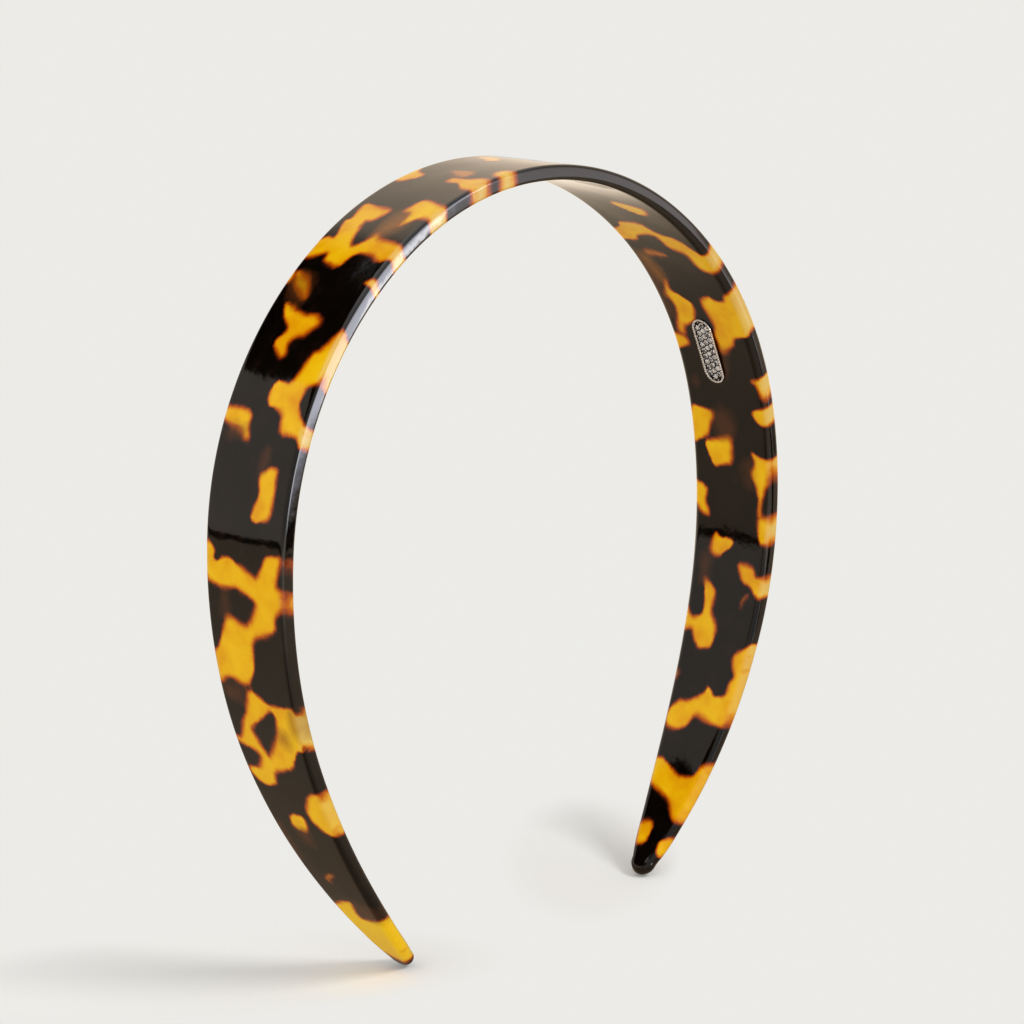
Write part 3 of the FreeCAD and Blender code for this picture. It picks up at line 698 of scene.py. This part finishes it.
def silver_material():
    """Bright plated metal with fine polishing marks, dark where the tray lies below the rim."""
    material, tree, shader = new_material("polished_silver")
    tone = noise(tree, 1500, 4.0, 0.6, 1.0)
    colour = ramp(tree, tone, 0.3, 0.7, ((0.3, (0.62, 0.61, 0.60)), (0.7, (0.93, 0.93, 0.94))))
    inward = (emblem_matrix().to_3x3() @ Vector((0, 0, 1))).normalized()
    seat = emblem_matrix().translation
    height = direction_along(tree, own_place(tree), *inward)
    proud = math_node(tree, "SUBTRACT", height, seat.dot(inward))
    raised = step_up(tree, proud, (TRAY_HEIGHT + 0.04) * MM, (TRAY_HEIGHT + 0.22) * MM)
    colour = mix_colour(tree, raised, (0.02, 0.019, 0.018), colour)
    tree.links.new(colour, shader.inputs["Base Color"])
    marks = noise(tree, 4000, 6.0, 0.7, 4.0)
    roughness = ramp(tree, marks, 0.3, 0.7, ((0.3, grey(0.07)), (0.7, grey(0.2))))
    tree.links.new(roughness, shader.inputs["Roughness"])
    shader.inputs["Metallic"].default_value = 1.0
    bump(tree, shader, ((marks, 0.000012),))
    return material


def crystal_material():
    """Clear faceted stones, varied from one to the next: each facet's colour is painted from near black
    to white at random, as painted glints and painted dark reflections.
    """
    material, tree, shader = new_material("clear_crystal")
    # Painted glints and painted dark reflections: each facet's random number and a fine speckle set its
    # colour, from near black to white.
    glint_speckle = noise(tree, 2500, 2.0, 0.5, 6.0)
    tone = math_node(tree, "MULTIPLY_ADD", glint_speckle, 0.3, stored(tree, "facet_glint"))
    colour = ramp(tree, tone, 0.1, 1.2, (
        (0.1, (0.01, 0.01, 0.011)), (0.38, (0.12, 0.12, 0.13)), (0.6, (0.85, 0.86, 0.89)),
        (1.2, grey(1.0))))
    tree.links.new(colour, shader.inputs["Base Color"])
    wear = noise(tree, 6000, 3.0, 0.5, 8.0)
    roughness = ramp(tree, wear, 0.3, 0.7, ((0.3, BLACK), (0.7, grey(0.03))))
    tree.links.new(roughness, shader.inputs["Roughness"])
    shader.inputs["Metallic"].default_value = 0.6
    shader.inputs["Transmission Weight"].default_value = 0.3
    shader.inputs["IOR"].default_value = 1.9
    return material


# ---------------------------------------------------------------- the emblem

# As in the CAD, in mm. Heights are above the band's inner face.
EMBLEM_TURN = math.radians(71.4)
EMBLEM_SHIFT = 1.2
PLATE_LENGTH, PLATE_WIDTH = 15.2, 5.2
RIM_WIDTH = 0.45
FACE_HEIGHT = 0.7
TRAY_HEIGHT = 0.35
# Each row of stones: its place across the plate, in rows, and how many it has.
STONE_ROWS = ((-1, 9), (0, 10), (1, 9))
STONE_PITCH, ROW_PITCH = 1.35, 1.25
# A stone's sizes.
GIRDLE_RADIUS, TABLE_RADIUS = 0.6, 0.34
GIRDLE_LOW, GIRDLE_HIGH, TABLE_HEIGHT, CULET_DEPTH = 0.37, 0.45, 0.64, 0.40
# Beads on the rim, and beads that hold the stones: the level they stand at, radius and height.
RIM_PITCH, RIM_BEAD = 0.56, (FACE_HEIGHT - 0.04, 0.22, 0.19)
HOLDING_BEAD = (TRAY_HEIGHT + 0.10, 0.15, 0.26)


def emblem_matrix():
    """From the emblem's own frame, in mm, to the scene: x up the arm, z into the head space."""
    centre, radius = ARC_ROWS[1][:2]
    out = Vector((math.sin(EMBLEM_TURN), 0, math.cos(EMBLEM_TURN)))
    seat = Vector((centre[0], 0, centre[1] + CROWN_CENTRE_HEIGHT))
    seat += out * (radius - THICKNESS / 2)
    seat.y = EMBLEM_SHIFT
    turn = Matrix.Rotation(math.pi + EMBLEM_TURN, 4, "Y")
    return Matrix.Scale(MM, 4) @ Matrix.Translation(seat) @ turn


def stone_places():
    """The middle of each stone on the plate."""
    for row, count in STONE_ROWS:
        for index in range(count):
            yield Vector(((index - (count - 1) / 2) * STONE_PITCH, row * ROW_PITCH, 0))


def add_stone(shape, place, turn):
    """A round brilliant: eight-sided table, sixteen-sided girdle, faceted crown and pavilion."""
    def ring(radius, height, count, start):
        made = []
        for index in range(count):
            angle = start + turn + 2 * math.pi * index / count
            offset = Vector((radius * math.cos(angle), radius * math.sin(angle), height))
            made.append(shape.verts.new(place + offset))
        return made

    table = ring(TABLE_RADIUS, TABLE_HEIGHT, 8, 0)
    bezel = ring((TABLE_RADIUS + GIRDLE_RADIUS) * 0.53, (TABLE_HEIGHT + GIRDLE_HIGH) * 0.5 + 0.03,
                 8, math.pi / 8)
    upper = ring(GIRDLE_RADIUS, GIRDLE_HIGH, 16, 0)
    lower = ring(GIRDLE_RADIUS, GIRDLE_LOW, 16, 0)
    pavilion = ring(GIRDLE_RADIUS * 0.45, GIRDLE_LOW - CULET_DEPTH * 0.6, 8, math.pi / 8)
    culet = shape.verts.new(place + Vector((0, 0, GIRDLE_LOW - CULET_DEPTH)))
    shape.faces.new(table)
    for index in range(8):
        ahead = (index + 1) % 8
        first, second, third = 2 * index, 2 * index + 1, (2 * index + 2) % 16
        for corners in (
                (table[index], bezel[index], table[ahead]),
                (table[index], upper[first], bezel[index]),
                (upper[first], upper[second], bezel[index]),
                (upper[second], upper[third], bezel[index]),
                (upper[third], table[ahead], bezel[index]),
                (lower[first], pavilion[index - 1], pavilion[index]),
                (lower[first], pavilion[index], lower[second]),
                (lower[second], pavilion[index], lower[third]),
                (pavilion[index], pavilion[index - 1], culet)):
            shape.faces.new(corners)
    for index in range(16):
        ahead = (index + 1) % 16
        shape.faces.new((upper[index], lower[index], lower[ahead], upper[ahead]))


def finish_piece(shape, name, material, smooth):
    """A piece of the emblem, moved from the emblem's frame to its place."""
    bmesh.ops.recalc_face_normals(shape, faces=shape.faces)
    mesh = new_mesh(shape, name)
    mesh.transform(emblem_matrix())
    if smooth:
        mesh.shade_smooth()
    mesh.materials.append(material)
    return add_object(name, mesh)


def make_stones(material):
    """All the stones as one piece, each turned at random, with a random number for each facet that sets
    its painted glint, from dark to white.
    """
    shape = bmesh.new()
    turns = random.Random(5)
    for place in stone_places():
        add_stone(shape, place, turns.uniform(0, math.pi / 4))
    piece = finish_piece(shape, "crystals", material, smooth=False)
    facet_glints = piece.data.attributes.new("facet_glint", "FLOAT", "FACE")
    facet_glints.data.foreach_set("value", [turns.random() for _ in piece.data.polygons])
    return piece


def add_bead(shape, x, y, level, radius, height):
    """A small dome of metal raised from the plate."""
    place = Vector((x, y, level))
    matrix = Matrix.Translation(place) @ Matrix.Diagonal((radius, radius, height, 1))
    bmesh.ops.create_icosphere(shape, subdivisions=2, radius=1.0, matrix=matrix)


def rim_places(inset, pitch):
    """Evenly spaced places round the plate's slot shape, inset from its edge."""
    radius = PLATE_WIDTH / 2 - inset
    reach = (PLATE_LENGTH - PLATE_WIDTH) / 2
    straight, arc = 2 * reach, math.pi * radius
    around = 2 * straight + 2 * arc
    count = int(around / pitch)
    for index in range(count):
        along = around * index / count
        if along < straight:
            yield Vector((along - reach, -radius, 0))
        elif along < straight + arc:
            angle = (along - straight) / radius - math.pi / 2
            yield Vector((reach + radius * math.cos(angle), radius * math.sin(angle), 0))
        elif along < 2 * straight + arc:
            yield Vector((reach - (along - straight - arc), radius, 0))
        else:
            angle = (along - 2 * straight - arc) / radius + math.pi / 2
            yield Vector((-reach + radius * math.cos(angle), radius * math.sin(angle), 0))


def make_setting(material):
    """The beaded rim of the plate and the small beads that hold the stones."""
    shape = bmesh.new()
    for place in rim_places(RIM_WIDTH / 2, RIM_PITCH):
        add_bead(shape, place.x, place.y, *RIM_BEAD)
    held = set()
    for place in stone_places():
        for side in (-1, 1):
            for end in (-1, 1):
                held.add((round(place.x + end * STONE_PITCH / 2, 2),
                          round(place.y + side * ROW_PITCH / 2, 2)))
    for x, y in sorted(held):
        add_bead(shape, x, y, *HOLDING_BEAD)
    return finish_piece(shape, "bead_setting", material, smooth=True)


# ---------------------------------------------------------------- floor, lights and camera

FLOOR_RADIUS = 3.0
# The floor's own even glow, which its grain varies a little.
FLOOR_GLOW = ((0.832, 0.825, 0.795), (0.844, 0.837, 0.807))
# Where the tips' shadows fall, in metres: the middle, and the reach along each of the two axes,
# which are the main picture's left and the way away from it.
SHADOW_PLACES = (((-0.061, 0.0317), 0.058, 0.021), ((0.0336, 0.0165), 0.018, 0.036))
PICTURE_LEFT, PICTURE_AWAY = (-0.731, 0.682), (0.682, 0.731)


def near_tips(tree):
    """1 where the tips throw their shadows, falling to 0 away from there: the rest is evenly lit."""
    place = own_place(tree)
    near = None
    for (x, y), reach_left, reach_away in SHADOW_PLACES:
        squares = []
        for axis, reach in ((PICTURE_LEFT, reach_left), (PICTURE_AWAY, reach_away)):
            centre = (x * axis[0] + y * axis[1]) / reach
            value = direction_along(tree, place, axis[0] / reach, axis[1] / reach)
            value = math_node(tree, "SUBTRACT", value, centre)
            squares.append(math_node(tree, "MULTIPLY", value, value))
        outside = step_up(tree, math_node(tree, "ADD", *squares), 0.35, 1.3)
        inside = math_node(tree, "SUBTRACT", 1.0, outside)
        near = inside if near is None else math_node(tree, "MAXIMUM", near, inside)
    return near


def make_floor():
    """A round pale table top, far wider than the picture."""
    shape = bmesh.new()
    bmesh.ops.create_circle(shape, cap_ends=True, cap_tris=False, segments=128, radius=FLOOR_RADIUS)
    mesh = new_mesh(shape, "floor")
    material, tree, shader = new_material("pale_floor")
    grain = noise(tree, 900, 4.0, 0.6)
    colour = ramp(tree, grain, 0.3, 0.7, ((0.3, (0.892, 0.883, 0.851)), (0.7, (0.908, 0.899, 0.867))))
    tree.links.new(colour, shader.inputs["Base Color"])
    shader.inputs["Roughness"].default_value = 0.9
    shader.inputs["Specular IOR Level"].default_value = 0.1
    even = add_node(tree, "ShaderNodeEmission")
    tree.links.new(mix_colour(tree, grain, FLOOR_GLOW[0], FLOOR_GLOW[1]), even.inputs["Color"])
    shaded = add_node(tree, "ShaderNodeMixShader")
    tree.links.new(near_tips(tree), shaded.inputs[0])
    tree.links.new(even.outputs[0], shaded.inputs[1])
    tree.links.new(shader.outputs[0], shaded.inputs[2])
    tree.links.new(shaded.outputs[0], tree.nodes["Material Output"].inputs["Surface"])
    mesh.materials.append(material)
    floor = add_object("floor", mesh)


# What reflections see of the room, with heights as the sine of the elevation: on the left a wall,
# a black flag above it and a pale sky, and elsewhere the front and the warmer back of the room.
CARD_TOP = 0.478
FLAG_TOP = 0.69
SKY_LEVEL = 1.33
FRONT_LEVEL = 0.6
WALL_COLOUR = (0.70, 0.62, 0.54)
BACK_COLOUR = (1.22, 1.0, 0.77)
# The soft light that falls on everything, how much it rises towards -X, and what the camera sees.
SOFT_LEVEL = 0.495
SOFT_RISE = 0.71
FLOOR_LEVEL = 0.83


def make_world():
    """A studio: soft light all round, and for reflections a grey wall and a black flag to the left."""
    world = bpy.data.worlds.new("studio")
    bpy.context.scene.world = world
    world.use_nodes = True
    tree = world.node_tree
    background = tree.nodes["Background"]
    direction = add_node(tree, "ShaderNodeTexCoord").outputs["Generated"]
    split = add_node(tree, "ShaderNodeSeparateXYZ")
    tree.links.new(direction, split.inputs[0])
    height = split.outputs["Z"]

    diagonal = math.sqrt(0.5)
    left_share = step_up(tree, direction_along(tree, direction, -diagonal, diagonal), 0.35, 0.5)
    back_share = step_up(tree, direction_along(tree, direction, diagonal, diagonal), -0.1, 0.6)
    above_card = step_up(tree, height, CARD_TOP - 0.006, CARD_TOP + 0.006)
    above_flag = step_up(tree, height, FLAG_TOP - 0.02, FLAG_TOP + 0.03)

    wall = mix_colour(tree, above_card, WALL_COLOUR, BLACK)
    room = mix_colour(tree, back_share, grey(FRONT_LEVEL), BACK_COLOUR)
    room = mix_colour(tree, left_share, room, wall)
    room = mix_colour(tree, above_flag, room, grey(SKY_LEVEL))

    front_share = step_up(tree, direction_along(tree, direction, -1.0, 0.0), 0.0, 0.6)
    soft = math_node(tree, "MULTIPLY_ADD", front_share, SOFT_RISE, SOFT_LEVEL)
    plain = add_node(tree, "ShaderNodeCombineColor")
    for channel in plain.inputs:
        tree.links.new(soft, channel)
    seen = add_node(tree, "ShaderNodeLightPath")
    level = mix_colour(tree, seen.outputs["Is Glossy Ray"], plain.outputs[0], room)
    level = mix_colour(tree, seen.outputs["Is Camera Ray"], level, grey(FLOOR_LEVEL))
    tree.links.new(level, background.inputs["Color"])


# The near edge of the band faces a light box on the right: the way its reflections come from.
BOX_AZIMUTH = Vector((0.686, -0.727, 0.0))
BOX_ACROSS = Vector((0.727, 0.686, 0.0))
# The left arm's outer face and the right arm's inner face reflect the room to the left.
LEFT_AZIMUTH = Vector((-0.707, 0.707, 0.0))
LEFT_ACROSS = Vector((0.707, 0.707, 0.0))


def add_card(name, corners, colour):
    """A glowing card that only reflections see. colour: makes the colour socket in its node tree."""
    shape = bmesh.new()
    shape.faces.new([shape.verts.new(corner) for corner in corners])
    mesh = new_mesh(shape, name)
    material = bpy.data.materials.new(name)
    material.use_nodes = True
    tree = material.node_tree
    tree.nodes.clear()
    light = add_node(tree, "ShaderNodeEmission")
    tree.links.new(colour(tree), light.inputs["Color"])
    output = add_node(tree, "ShaderNodeOutputMaterial")
    tree.links.new(light.outputs[0], output.inputs["Surface"])
    mesh.materials.append(material)
    card = add_object(name, mesh)
    for ray in ("camera", "diffuse", "shadow", "transmission", "volume_scatter"):
        setattr(card, "visible_" + ray, False)


def upright(azimuth, across, distance, left, right, low, high):
    """The corners of an upright card."""
    centre = azimuth * distance
    return [centre + across * side + Vector((0, 0, level))
            for side, level in ((left, low), (right, low), (right, high), (left, high))]


def glow_along(axis, stops):
    """A colour that changes along an axis: stops are (place in metres, colour)."""
    def colour(tree):
        value = direction_along(tree, own_place(tree), *axis)
        return ramp(tree, value, stops[0][0], stops[-1][0], stops)
    return colour


def product(first, second, scale=1.0):
    """Two glows multiplied together, and made brighter by a plain number."""
    def colour(tree):
        both = add_node(tree, "ShaderNodeVectorMath", operation="MULTIPLY")
        tree.links.new(first(tree), both.inputs[0])
        tree.links.new(second(tree), both.inputs[1])
        node = add_node(tree, "ShaderNodeVectorMath", operation="SCALE")
        node.inputs["Scale"].default_value = scale
        tree.links.new(both.outputs[0], node.inputs[0])
        return node.outputs[0]
    return colour


def make_cards():
    """What the glossy faces reflect: a light box, a low black flag, the table and the wall."""
    bright, pale, dim = (20.0, 20.0, 20.8), (10.0, 10.2, 11.6), (3.0, 2.75, 2.7)
    box = upright(BOX_AZIMUTH, BOX_ACROSS, 0.35, -0.40, 0.07, 0.0, 0.40)
    # The box's colours are written as shares of this level.
    scale = 20.0
    stops = [(where, tuple(part / scale for part in shade)) for where, shade in (
        (-0.40, (6.0, 6.1, 6.6)), (-0.20, (12.0, 12.2, 13.2)), (-0.085, pale), (-0.050, pale),
        (-0.042, bright), (-0.037, bright), (-0.029, (3.9, 3.8, 4.0)), (-0.010, (2.7, 2.5, 2.5)),
        (0.036, dim), (0.050, (1.3, 1.0, 0.75)), (0.07, (1.2, 0.9, 0.66)))]
    fade = ((0.0, grey(0.2)), (0.012, grey(0.36)), (0.03, grey(1.1)), (0.09, grey(1.0)),
            (0.20, grey(0.75)), (0.40, grey(0.3)))
    glow = product(glow_along(BOX_ACROSS, stops), glow_along(Vector((0, 0, 1)), fade), scale)
    add_card("light_box", box, glow)
    flag = upright(BOX_AZIMUTH, BOX_ACROSS, 0.20, -0.16, -0.012, 0.020, 0.0375)
    add_card("low_flag", flag, glow_along(BOX_ACROSS, ((-0.2, BLACK), (0.1, BLACK))))

    reach = 1.0
    for name, low, high, shade in (("skirting", 0.0, 0.030, BLACK), ("wall", 0.030, 0.35, WALL_COLOUR)):
        corners = upright(LEFT_AZIMUTH, LEFT_ACROSS, reach, -0.7, 0.5, low, high)
        add_card(name, corners, glow_along(LEFT_ACROSS, ((-1.0, shade), (1.0, shade))))

    table = glow_along(LEFT_ACROSS, (
        (-0.4, (1.1, 0.95, 0.8)), (-0.12, (0.50, 0.40, 0.30)), (0.10, (0.55, 0.43, 0.31)),
        (0.20, (0.90, 0.72, 0.52)), (0.34, (1.55, 1.3, 1.02)), (0.7, (1.6, 1.4, 1.15))))
    near_tip = glow_along(LEFT_AZIMUTH + LEFT_ACROSS * 0.5, (
        (-0.30, grey(1.9)), (-0.06, grey(1.2)), (0.015, (0.55, 0.5, 0.45)),
        (0.045, (0.6, 0.55, 0.5)), (0.075, (0.75, 0.72, 0.68)), (0.12, grey(0.92)),
        (0.3, grey(1.0))))
    # Just above the floor: what reflections see in its place.
    level = Vector((0, 0, 0.0006))
    corners = [LEFT_AZIMUTH * along + LEFT_ACROSS * side + level
               for along, side in ((-0.7, -1.0), (-0.7, 1.0), (reach, 1.0), (reach, -1.0))]
    add_card("table", corners, product(table, near_tip))


def make_key_light():
    """A soft light from the right and in front, for the faint shadows that the arms throw."""
    data = bpy.data.lights.new("key", "SUN")
    data.angle = 0.32
    data.energy = 1.1
    light = add_object("key", data)
    azimuth = Vector((0.208, -0.978, 0.0))
    elevation = math.radians(45)
    towards = azimuth * math.cos(elevation) + Vector((0, 0, math.sin(elevation)))
    light.location = towards
    light.rotation_mode = "QUATERNION"
    light.rotation_quaternion = (-towards).to_track_quat("-Z", "Y")
    light.visible_glossy = False


def make_camera():
    """The camera looks at the near edge from the left and a little above."""
    azimuth, elevation, roll = math.radians(-43.19), math.radians(15.12), math.radians(-3.0)
    target = Vector((1.07, 0.0, 86.1)) * MM
    distance = 0.6706
    back = Vector((math.sin(azimuth) * math.cos(elevation),
                   -math.cos(azimuth) * math.cos(elevation), math.sin(elevation)))
    data = bpy.data.cameras.new("camera")
    data.lens = 119.4
    data.sensor_width = 36.0
    data.clip_start = 0.01
    data.clip_end = 20.0
    camera = add_object("camera", data)
    camera.location = target + back * distance
    camera.rotation_mode = "QUATERNION"
    aim = (-back).to_track_quat("-Z", "Y")
    camera.rotation_quaternion = aim @ Matrix.Rotation(roll, 3, "Z").to_quaternion()
    bpy.context.scene.camera = camera


def paint(node, material):
    """Give a CAD node its finished material in every slot."""
    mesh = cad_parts[node].data
    if not mesh.materials:
        mesh.materials.append(material)
    for index in range(len(mesh.materials)):
        mesh.materials[index] = material


make_camera()
make_floor()
make_world()
make_cards()
make_key_light()
bpy.context.scene.view_settings.view_transform = "Standard"

band_piece = make_band()
band_piece.data.materials.append(acetate_material())
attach(band_piece, "root")
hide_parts("band")

silver = silver_material()
crystal = crystal_material()
paint("emblem_plate", silver)
paint("emblem_pins", silver)

stones = make_stones(crystal)
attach(stones, "root")
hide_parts("emblem_crystals")

setting = make_setting(silver)
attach(setting, "root")
